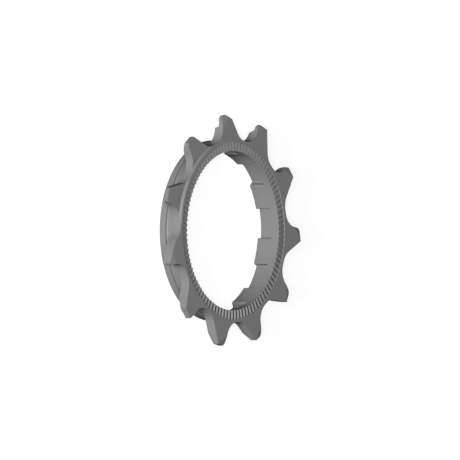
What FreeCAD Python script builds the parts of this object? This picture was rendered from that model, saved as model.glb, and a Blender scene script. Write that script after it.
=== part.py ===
import FreeCAD, Part
import math
import os

# One-piece steel cog with eleven teeth for a nine-spline cassette body.
# Lengths in millimetres. The rear face of the spacer flange is the plane Z = 0,
# the Z axis is the bore axis and +Z looks out of the serrated face.
# Seen from +Z the teeth are counted clockwise.

# Heights along the axis
rear_face = 0.0
flange_front = 1.44
plate_rear = 3.45
plate_front = 5.49
groove_end = plate_rear
crest_height = 5.36
overcut = 1.0
same_place = 1e-6

# Bore and splines
bore_radius = 16.15
groove_depth = 1.15
groove_radius = bore_radius + groove_depth
spline_count = 9
spline_width_angle = 19.1
first_spline_angle = -14.85
spline_corner_radius = 0.33
spline_flare_angle = spline_width_angle / 3.0

# Neck around the bore and spacer flange behind it
neck_wall = 0.46
neck_chamfer = 0.24
flange_rim = 0.34
neck_radius = groove_radius + neck_wall
neck_shoulder_radius = neck_radius + neck_chamfer
flange_radius = neck_shoulder_radius + flange_rim

# Toothed plate for a half-inch chain
chain_pitch = 12.70
tooth_count = 11
first_tooth_angle = 94.0
tooth_pitch_angle = 360.0 / tooth_count
pitch_radius = chain_pitch / 2.0 / math.sin(math.pi / tooth_count)
roller_depth = 3.91
root_radius = pitch_radius - roller_depth
tooth_height = 4.95
tip_radius = root_radius + tooth_height
seat_radius = 3.45
seat_offset = 0.446
drive_flank_lean = 4.6
trail_flank_lean = 30.8
drive_corner_drop = 0.65
drive_corner_cut = 0.40

# Bevels on the fronts of the tips. A drop is measured in from the tip circle and a side
# from the tooth's centre line, clockwise positive.
front_bevel_angle = 16.0
bevel_foot_side = -2.31
bevel_foot_drop = 2.21
bevel_peak_side = -0.10
bevel_peak_drop = 0.41
bevel_overrun = 1.2

# Tooth 9 is lower, with one long arc from its trailing seat to its drive corner
crowned_tooth = 9
crown_peak_side = -0.17
crown_peak_drop = 1.42
crown_end_side = -1.88
crown_end_drop = 0.81
crown_shoulder_drop = 1.16
crown_bevel_foot_drop = 2.67

# Relief behind the tips: drop of its foot, slope of its wall and depth
relief_half_width = 3.4
relief_drop = 1.97
relief_angle = 21.8
relief_depth = 1.20
step_depth = 1.00
first_step_drop = 2.50
first_step_angle = 73.0
second_step_drop = 2.25
second_step_angle = 55.0
third_relief_drop = 1.26
third_relief_angle = 46.7
third_relief_depth = 1.50
eighth_relief_drop = 2.25

special_reliefs = {
    1: (first_step_drop, first_step_angle, step_depth),
    2: (second_step_drop, second_step_angle, step_depth),
    3: (third_relief_drop, third_relief_angle, third_relief_depth),
    8: (eighth_relief_drop, relief_angle, relief_depth),
}

# Trimmed tips: drop of the trim at the two ends of a line as wide as the relief,
# and the slope of its face
first_trim_start = -1.20
first_trim_end = 2.10
first_trim_angle = 72.0
eighth_trim_start = 0.32
eighth_trim_end = 0.70
eleventh_trim_start = -0.10
eleventh_trim_end = 0.30
plain_trim_angle = 90.0
tip_trims = {
    1: (first_trim_start, first_trim_end, first_trim_angle),
    8: (eighth_trim_start, eighth_trim_end, plain_trim_angle),
    11: (eleventh_trim_start, eleventh_trim_end, plain_trim_angle),
}

# Teeth with a lowered front
tenth_tooth_depth = 0.45
eleventh_tooth_depth = 0.32
lowered_teeth = {10: tenth_tooth_depth, 11: eleventh_tooth_depth}
lowered_start_radius = root_radius - 0.05

# Serrated ring for the lock ring, one land, steep flank, valley and long flank each
serration_count = 100
serration_ring_width = 1.82
serration_outer_radius = bore_radius + serration_ring_width
serration_depth = 0.25
serration_land_angle = 0.22
serration_steep_angle = 0.90
serration_valley_angle = 0.20
first_crest_angle = -0.64


def polar(radius, angle, z=0.0):
    turn = math.radians(angle)
    return FreeCAD.Vector(radius * math.cos(turn), radius * math.sin(turn), z)


def disc(radius, bottom, top):
    return Part.makeCylinder(radius, top - bottom, FreeCAD.Vector(0, 0, bottom))


def tooth_angle(number):
    return first_tooth_angle - (number - 1) * tooth_pitch_angle


def turned(shape, angle):
    # The tooth frame has X along the pitch circle, clockwise, and Y outward.
    copy = shape.copy()
    copy.rotate(FreeCAD.Vector(0, 0, 0), FreeCAD.Vector(0, 0, 1), angle - 90.0)
    return copy


def gap_point(across, height, side):
    # Point of the gap beside a tooth; side is +1 clockwise of the tooth, -1 before it.
    half = math.radians(tooth_pitch_angle / 2.0)
    x = side * (height * math.sin(half) - across * math.cos(half))
    y = height * math.cos(half) + across * math.sin(half)
    return FreeCAD.Vector(x, y, 0)


def seat_arc_points(side, lean):
    # Floor end, middle and flank end of the roller seat on one side of a tooth.
    centre = gap_point(seat_offset, root_radius + seat_radius, side)
    start = gap_point(seat_offset, root_radius, side)
    turn = math.radians(lean)
    toward_tooth = FreeCAD.Vector(-side * math.cos(turn), -math.sin(turn), 0)
    end = centre + toward_tooth * seat_radius
    first = start - centre
    second = end - centre
    middle = first + second
    middle.normalize()
    return start, centre + middle * seat_radius, end


def flank_to_tip(start, side, lean):
    # Straight flank from the seat to the tip circle.
    turn = math.radians(lean)
    along = FreeCAD.Vector(-side * math.sin(turn), math.cos(turn), 0)
    projected = start.dot(along)
    rest = start.Length ** 2 - tip_radius ** 2
    return start + along * (-projected + math.sqrt(projected ** 2 - rest)), along


def tip_point(side, drop):
    return FreeCAD.Vector(side, tip_radius - drop, 0)


def usual_tip(drive_seat_end, trail_seat_end):
    # Shoulder of the drive flank, and the two ends and the middle of the tip's arc.
    corner, along = flank_to_tip(drive_seat_end, -1, drive_flank_lean)
    shoulder = corner - along * (corner.y - tip_radius + drive_corner_drop)
    tip_left = FreeCAD.Vector(corner.x + drive_corner_cut, 0, 0)
    tip_left.y = math.sqrt(tip_radius ** 2 - tip_left.x ** 2)
    tip_right = flank_to_tip(trail_seat_end, 1, trail_flank_lean)[0]
    tip_middle = (tip_left + tip_right).normalize() * tip_radius
    return shoulder, tip_left, tip_middle, tip_right


def crowned_tip(drive_seat_end, trail_seat_end):
    corner, along = flank_to_tip(drive_seat_end, -1, drive_flank_lean)
    shoulder = corner - along * (corner.y - tip_radius + crown_shoulder_drop)
    end = tip_point(crown_end_side, crown_end_drop)
    peak = tip_point(crown_peak_side, crown_peak_drop)
    return shoulder, end, peak, trail_seat_end


def tooth_edges(number):
    left = seat_arc_points(-1, drive_flank_lean)
    right = seat_arc_points(1, trail_flank_lean)
    make_tip = crowned_tip if number == crowned_tooth else usual_tip
    shoulder, tip_left, tip_middle, tip_right = make_tip(left[2], right[2])
    floor_start = gap_point(0.0, root_radius, -1)
    floor_end = gap_point(0.0, root_radius, 1)
    edges = [
        Part.makeLine(floor_start, left[0]),
        Part.Arc(*left).toShape(),
        Part.makeLine(left[2], shoulder),
        Part.makeLine(shoulder, tip_left),
        Part.Arc(tip_left, tip_middle, tip_right).toShape(),
        Part.Arc(*right).toShape(),
        Part.makeLine(right[0], floor_end),
    ]
    if number != crowned_tooth:
        edges.append(Part.makeLine(tip_right, right[2]))
    return [turned(edge, tooth_angle(number)) for edge in edges]


def toothed_plate():
    edges = []
    for number in range(1, tooth_count + 1):
        edges += tooth_edges(number)
    outline = Part.Wire(Part.__sortEdges__(edges))
    face = Part.Face(outline)
    face.translate(FreeCAD.Vector(0, 0, plate_rear))
    return face.extrude(FreeCAD.Vector(0, 0, plate_front - plate_rear))


def flange_and_neck():
    profile = [
        FreeCAD.Vector(0, 0, rear_face),
        FreeCAD.Vector(flange_radius, 0, rear_face),
        FreeCAD.Vector(flange_radius, 0, flange_front),
        FreeCAD.Vector(neck_shoulder_radius, 0, flange_front),
        FreeCAD.Vector(neck_radius, 0, flange_front + neck_chamfer),
        FreeCAD.Vector(neck_radius, 0, plate_front),
        FreeCAD.Vector(0, 0, plate_front),
        FreeCAD.Vector(0, 0, rear_face),
    ]
    face = Part.Face(Part.makePolygon(profile))
    return face.revolve(FreeCAD.Vector(0, 0, 0), FreeCAD.Vector(0, 0, 1), 360)


def bevel_tool(first, second, slope_angle):
    # Cutter for the front of a tooth, outside the line from first to second.
    along = second - first
    length = along.Length
    along.normalize()
    outward = FreeCAD.Vector(-along.y, along.x, 0)
    up = FreeCAD.Vector(0, 0, 1)
    turn = math.radians(slope_angle)
    slope = outward * math.cos(turn) - up * math.sin(turn)
    base = first - along * bevel_overrun + up * plate_front
    corners = [
        base,
        base + slope * tooth_height,
        base + (slope + outward) * tooth_height,
        base + outward * tooth_height + up * overcut,
        base + up * overcut,
        base,
    ]
    face = Part.Face(Part.makePolygon(corners))
    return face.extrude(along * (length + 2 * bevel_overrun))


def front_bevels(number):
    # The drive side of each tip is bevelled, except where the front is lowered.
    if number in lowered_teeth:
        return []
    foot = tip_point(bevel_foot_side, bevel_foot_drop)
    peak = tip_point(bevel_peak_side, bevel_peak_drop)
    if number == crowned_tooth:
        foot = tip_point(bevel_foot_side, crown_bevel_foot_drop)
        peak = tip_point(crown_peak_side, crown_peak_drop)
    return [bevel_tool(foot, peak, front_bevel_angle)]


def rear_reliefs(number):
    # Teeth 1 and 2 have a step behind the tip, the crowned one is plain, the others slope.
    if number == crowned_tooth:
        return []
    usual = (relief_drop, relief_angle, relief_depth)
    drop, slope_angle, depth = special_reliefs.get(number, usual)
    foot = tip_radius - drop
    top = foot + depth / math.tan(math.radians(slope_angle))
    beyond = tip_radius + tooth_height
    corners = [
        FreeCAD.Vector(-relief_half_width, foot, plate_rear),
        FreeCAD.Vector(-relief_half_width, top, plate_rear + depth),
        FreeCAD.Vector(-relief_half_width, beyond, plate_rear + depth),
        FreeCAD.Vector(-relief_half_width, beyond, plate_rear - overcut),
        FreeCAD.Vector(-relief_half_width, foot, plate_rear - overcut),
        FreeCAD.Vector(-relief_half_width, foot, plate_rear),
    ]
    face = Part.Face(Part.makePolygon(corners))
    return [face.extrude(FreeCAD.Vector(2 * relief_half_width, 0, 0))]


def trims(number):
    # Three teeth end short of the tip circle.
    if number not in tip_trims:
        return []
    start_drop, end_drop, slope_angle = tip_trims[number]
    start = tip_point(-relief_half_width, start_drop)
    end = tip_point(relief_half_width, end_drop)
    return [bevel_tool(start, end, slope_angle)]


def bevelled_plate():
    plate = toothed_plate()
    tools = []
    for number in range(1, tooth_count + 1):
        cuts = rear_reliefs(number) + front_bevels(number) + trims(number)
        for tool in cuts:
            tools.append(turned(tool, tooth_angle(number)))
    return plate.cut(tools)


def lowered_front(number, depth):
    # Sector over one tooth, with a conical wall at the ring.
    outer = lowered_start_radius + depth
    floor = plate_front - depth
    reach = tip_radius + overcut
    profile = [
        FreeCAD.Vector(lowered_start_radius - overcut, 0, plate_front + overcut),
        FreeCAD.Vector(outer, 0, floor),
        FreeCAD.Vector(reach, 0, floor),
        FreeCAD.Vector(reach, 0, plate_front + overcut),
        FreeCAD.Vector(lowered_start_radius - overcut, 0, plate_front + overcut),
    ]
    face = Part.Face(Part.makePolygon(profile))
    start = tooth_angle(number) - tooth_pitch_angle / 2.0
    face.rotate(FreeCAD.Vector(0, 0, 0), FreeCAD.Vector(0, 0, 1), start)
    axis = FreeCAD.Vector(0, 0, 1)
    return face.revolve(FreeCAD.Vector(0, 0, 0), axis, tooth_pitch_angle)


def is_upright_at(edge, places):
    # True for an edge parallel to the axis that stands on one of these places.
    first, last = edge.Vertexes[0].Point, edge.Vertexes[-1].Point
    if math.hypot(first.x - last.x, first.y - last.y) > same_place:
        return False
    gaps = [math.hypot(first.x - place.x, first.y - place.y) for place in places]
    return min(gaps) < same_place


def spline_groove(centre_angle):
    # Blind groove between two splines, with rounded corners at its floor and its mouth.
    half = (360.0 / spline_count - spline_width_angle) / 2.0
    flare = half + spline_flare_angle
    before, after = centre_angle - half, centre_angle + half
    mouth = bore_radius - overcut
    floor_corners = [polar(groove_radius, before), polar(groove_radius, after)]
    mouth_corners = [polar(bore_radius, before), polar(bore_radius, after)]
    flare_corners = [
        polar(bore_radius, centre_angle - flare),
        polar(bore_radius, centre_angle + flare),
    ]
    inner_corners = [polar(mouth, centre_angle - flare), polar(mouth, centre_angle + flare)]
    quarter = (half + flare) / 2.0
    left_arc = Part.Arc(flare_corners[0], polar(bore_radius, centre_angle - quarter), mouth_corners[0])
    floor_arc = Part.Arc(floor_corners[0], polar(groove_radius, centre_angle), floor_corners[1])
    right_arc = Part.Arc(mouth_corners[1], polar(bore_radius, centre_angle + quarter), flare_corners[1])
    inner_arc = Part.Arc(inner_corners[1], polar(mouth, centre_angle), inner_corners[0])
    outline = Part.Wire([
        Part.makeLine(inner_corners[0], flare_corners[0]),
        left_arc.toShape(),
        Part.makeLine(mouth_corners[0], floor_corners[0]),
        floor_arc.toShape(),
        Part.makeLine(floor_corners[1], mouth_corners[1]),
        right_arc.toShape(),
        Part.makeLine(flare_corners[1], inner_corners[1]),
        inner_arc.toShape(),
    ])
    face = Part.Face(outline)
    face.translate(FreeCAD.Vector(0, 0, rear_face - overcut))
    blank = face.extrude(FreeCAD.Vector(0, 0, groove_end - rear_face + overcut))
    corners = floor_corners + mouth_corners
    rounded = [edge for edge in blank.Edges if is_upright_at(edge, corners)]
    return blank.makeFillet(spline_corner_radius, rounded)


def serration_tool():
    # Saw-tooth cutter. Crests and valleys all run to one point on the axis.
    rim = serration_outer_radius + overcut
    middle = (bore_radius + serration_outer_radius) / 2.0
    valley_drop = serration_depth * rim / middle
    top = plate_front + overcut
    pitch = 360.0 / serration_count
    ring = []
    for index in range(serration_count):
        crest = first_crest_angle - index * pitch
        land_end = crest - serration_land_angle
        valley = land_end - serration_steep_angle
        valley_end = valley - serration_valley_angle
        ring.append(polar(rim, crest, crest_height))
        ring.append(polar(rim, land_end, crest_height))
        ring.append(polar(rim, valley, crest_height - valley_drop))
        ring.append(polar(rim, valley_end, crest_height - valley_drop))
    apex = FreeCAD.Vector(0, 0, crest_height)
    upper = [FreeCAD.Vector(point.x, point.y, top) for point in ring]
    faces = []
    for index, here in enumerate(ring):
        after = (index + 1) % len(ring)
        there = ring[after]
        faces.append(Part.Face(Part.makePolygon([apex, here, there, apex])))
        wall = [here, there, upper[after], upper[index], here]
        faces.append(Part.Face(Part.makePolygon(wall)))
    faces.append(Part.Face(Part.makePolygon(upper + upper[:1])))
    cutter = Part.Solid(Part.Shell(faces))
    if cutter.Volume < 0:
        cutter.reverse()
    return cutter.common(disc(serration_outer_radius, plate_rear, top + overcut))


def cog():
    body = flange_and_neck().fuse(bevelled_plate())
    tools = [disc(bore_radius, rear_face - overcut, plate_front + overcut)]
    for number, depth in lowered_teeth.items():
        tools.append(lowered_front(number, depth))
    for index in range(spline_count):
        pitch = 360.0 / spline_count
        tools.append(spline_groove(first_spline_angle + (index + 0.5) * pitch))
    body = body.cut(tools)
    body = body.cut(serration_tool())
    return body.removeSplitter()


os.makedirs("parts", exist_ok=True)
solid = cog()
if len(solid.Solids) == 1:
    solid = solid.Solids[0]
solid.exportStep("parts/cog.step")
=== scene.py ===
import bpy
from mathutils import Matrix, Vector


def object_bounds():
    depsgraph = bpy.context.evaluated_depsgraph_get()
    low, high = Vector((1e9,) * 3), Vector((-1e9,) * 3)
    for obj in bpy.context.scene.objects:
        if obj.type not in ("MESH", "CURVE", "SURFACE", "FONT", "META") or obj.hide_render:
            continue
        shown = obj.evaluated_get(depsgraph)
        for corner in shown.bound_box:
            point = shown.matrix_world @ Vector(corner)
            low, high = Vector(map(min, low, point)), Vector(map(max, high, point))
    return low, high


# Lengths in metres. The cog lies on its spacer flange, serrated face up.
MM = 0.001

# The photograph's frame: orthographic, with the cog's axis pointing right.
PHOTO_PIXELS = 460
PIXELS_PER_MM = 4.928
VIEW_RIGHT = Vector((0.57735, 0.0, 0.81650))
VIEW_UP = Vector((0.0, 1.0, 0.0))
VIEW_BACK = Vector((-0.81650, 0.0, 0.57735))
CENTRE_RIGHT = 3.693 * MM
CENTRE_UP = 0.142 * MM
CAMERA_DISTANCE = 0.4
CAMERA_NEAR = 0.01
CAMERA_FAR = 10.0

# Satin steel: even grey, with a faint cloud in its colour and a fine grain in its finish.
# The black edge tint keeps the metal from brightening at grazing angles.
STEEL_COLOUR = (0.24, 0.24, 0.243, 1.0)
STEEL_DARK = (0.225, 0.225, 0.228, 1.0)
STEEL_METALLIC = 0.2
STEEL_SPECULAR = 0.0
STEEL_EDGE = (0.0, 0.0, 0.0, 1.0)
STEEL_ROUGHNESS = (0.42, 0.50)
CLOUD_SIZE = 6.0 * MM
CLOUD_DETAIL = 3.0
GRAIN_SIZE = 0.12 * MM
GRAIN_DETAIL = 2.0
GRAIN_DEPTH = 0.002 * MM

# Floor and world. Both look white but send little light back to the cog.
WHITE = (1.0, 1.0, 1.0, 1.0)
FLOOR_HALF = 1.5
FLOOR_COLOUR = (0.03, 0.03, 0.03, 1.0)
FLOOR_SHADE = (0.35, 0.35, 0.35, 1.0)
FLOOR_GLOW = 0.85
WORLD_GREY = (0.03, 0.03, 0.03, 1.0)

# Round lamps: name, direction from the cog and power in watts. The key stands behind the camera.
LAMP_SIZE = 0.2
LAMP_DISTANCE = 0.7
LAMPS = (
    ("key", VIEW_BACK, 2.9),
    ("side", Vector((-1.0, 0.0, 0.27)), 3.8),
    ("back", Vector((1.0, 0.0, 0.15)), 0.6),
)


def new_material(name):
    material = bpy.data.materials.new(name)
    material.use_nodes = True
    tree = material.node_tree
    tree.nodes.clear()
    return material, tree


def add_node(tree, kind, **values):
    node = tree.nodes.new(kind)
    for name, value in values.items():
        setattr(node, name, value)
    return node


def join(tree, source, target):
    tree.links.new(source, target)


def noise(tree, coordinates, feature_size, detail):
    node = add_node(tree, "ShaderNodeTexNoise")
    node.inputs["Scale"].default_value = 1.0 / feature_size
    node.inputs["Detail"].default_value = detail
    join(tree, coordinates, node.inputs["Vector"])
    return node.outputs["Fac"]


def steel_material():
    material, tree = new_material("satin_steel")
    shader = add_node(tree, "ShaderNodeBsdfPrincipled")
    shader.inputs["Metallic"].default_value = STEEL_METALLIC
    shader.inputs["Specular IOR Level"].default_value = STEEL_SPECULAR
    shader.inputs["Specular Tint"].default_value = STEEL_EDGE
    output = add_node(tree, "ShaderNodeOutputMaterial")
    join(tree, shader.outputs["BSDF"], output.inputs["Surface"])

    place = add_node(tree, "ShaderNodeTexCoord").outputs["Object"]
    cloud = noise(tree, place, CLOUD_SIZE, CLOUD_DETAIL)
    grain = noise(tree, place, GRAIN_SIZE, GRAIN_DETAIL)

    tint = add_node(tree, "ShaderNodeMix", data_type="RGBA")
    tint.inputs["A"].default_value = STEEL_DARK
    tint.inputs["B"].default_value = STEEL_COLOUR
    join(tree, cloud, tint.inputs["Factor"])
    join(tree, tint.outputs["Result"], shader.inputs["Base Color"])

    rough = add_node(tree, "ShaderNodeMapRange")
    rough.inputs["To Min"].default_value = STEEL_ROUGHNESS[0]
    rough.inputs["To Max"].default_value = STEEL_ROUGHNESS[1]
    join(tree, grain, rough.inputs["Value"])
    join(tree, rough.outputs["Result"], shader.inputs["Roughness"])

    bump = add_node(tree, "ShaderNodeBump")
    bump.inputs["Distance"].default_value = GRAIN_DEPTH
    join(tree, grain, bump.inputs["Height"])
    join(tree, bump.outputs["Normal"], shader.inputs["Normal"])
    return material


def seen_directly(tree):
    # 1 where the camera, a reflection or a refraction looks at the surface.
    path = add_node(tree, "ShaderNodeLightPath")
    first = add_node(tree, "ShaderNodeMath", operation="ADD")
    join(tree, path.outputs["Is Camera Ray"], first.inputs[0])
    join(tree, path.outputs["Is Glossy Ray"], first.inputs[1])
    both = add_node(tree, "ShaderNodeMath", operation="ADD", use_clamp=True)
    join(tree, first.outputs["Value"], both.inputs[0])
    join(tree, path.outputs["Is Transmission Ray"], both.inputs[1])
    return both.outputs["Value"]


def floor_material():
    material, tree = new_material("pale_floor")
    plain = add_node(tree, "ShaderNodeBsdfDiffuse")
    plain.inputs["Color"].default_value = FLOOR_COLOUR
    lit = add_node(tree, "ShaderNodeBsdfDiffuse")
    lit.inputs["Color"].default_value = FLOOR_SHADE
    glow = add_node(tree, "ShaderNodeEmission")
    glow.inputs["Strength"].default_value = FLOOR_GLOW
    white = add_node(tree, "ShaderNodeAddShader")
    join(tree, lit.outputs["BSDF"], white.inputs[0])
    join(tree, glow.outputs["Emission"], white.inputs[1])
    mix = add_node(tree, "ShaderNodeMixShader")
    join(tree, seen_directly(tree), mix.inputs["Fac"])
    join(tree, plain.outputs["BSDF"], mix.inputs[1])
    join(tree, white.outputs["Shader"], mix.inputs[2])
    output = add_node(tree, "ShaderNodeOutputMaterial")
    join(tree, mix.outputs["Shader"], output.inputs["Surface"])
    return material


def add_floor(height):
    corners = [
        (-FLOOR_HALF, -FLOOR_HALF, height),
        (FLOOR_HALF, -FLOOR_HALF, height),
        (FLOOR_HALF, FLOOR_HALF, height),
        (-FLOOR_HALF, FLOOR_HALF, height),
    ]
    mesh = bpy.data.meshes.new("floor")
    mesh.from_pydata(corners, [], [(0, 1, 2, 3)])
    mesh.materials.append(floor_material())
    floor = bpy.data.objects.new("floor", mesh)
    bpy.context.scene.collection.objects.link(floor)


def add_world():
    world = bpy.data.worlds.new("studio")
    world.use_nodes = True
    tree = world.node_tree
    tree.nodes.clear()
    soft = add_node(tree, "ShaderNodeBackground")
    soft.inputs["Color"].default_value = WORLD_GREY
    white = add_node(tree, "ShaderNodeBackground")
    white.inputs["Color"].default_value = WHITE
    mix = add_node(tree, "ShaderNodeMixShader")
    join(tree, seen_directly(tree), mix.inputs["Fac"])
    join(tree, soft.outputs["Background"], mix.inputs[1])
    join(tree, white.outputs["Background"], mix.inputs[2])
    output = add_node(tree, "ShaderNodeOutputWorld")
    join(tree, mix.outputs["Shader"], output.inputs["Surface"])
    bpy.context.scene.world = world


def add_lamp(name, direction, power):
    data = bpy.data.lights.new(name, "AREA")
    data.shape = "DISK"
    data.size = LAMP_SIZE
    data.energy = power
    lamp = bpy.data.objects.new(name, data)
    lamp.location = direction.normalized() * LAMP_DISTANCE
    lamp.rotation_euler = direction.to_track_quat("Z", "Y").to_euler()
    bpy.context.scene.collection.objects.link(lamp)


def add_camera():
    data = bpy.data.cameras.new("camera")
    data.type = "ORTHO"
    data.ortho_scale = PHOTO_PIXELS / PIXELS_PER_MM * MM
    data.clip_start = CAMERA_NEAR
    data.clip_end = CAMERA_FAR
    camera = bpy.data.objects.new("camera", data)
    centre = VIEW_RIGHT * CENTRE_RIGHT + VIEW_UP * CENTRE_UP
    place = centre + VIEW_BACK * CAMERA_DISTANCE
    turn = Matrix((VIEW_RIGHT, VIEW_UP, VIEW_BACK)).transposed().to_4x4()
    camera.matrix_world = Matrix.Translation(place) @ turn
    bpy.context.scene.collection.objects.link(camera)
    bpy.context.scene.camera = camera


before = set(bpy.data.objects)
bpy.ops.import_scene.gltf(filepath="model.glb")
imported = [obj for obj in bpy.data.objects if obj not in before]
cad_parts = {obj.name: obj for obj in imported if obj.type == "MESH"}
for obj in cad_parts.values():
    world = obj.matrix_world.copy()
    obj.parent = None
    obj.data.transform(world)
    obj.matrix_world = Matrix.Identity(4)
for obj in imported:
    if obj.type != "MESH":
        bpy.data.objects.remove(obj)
cad_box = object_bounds()

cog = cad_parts["cog"]
cog.data.materials.clear()
cog.data.materials.append(steel_material())

add_floor(cad_box[0].z)
add_world()
for name, direction, power in LAMPS:
    add_lamp(name, direction, power)
add_camera()
bpy.context.scene.view_settings.view_transform = "Standard"
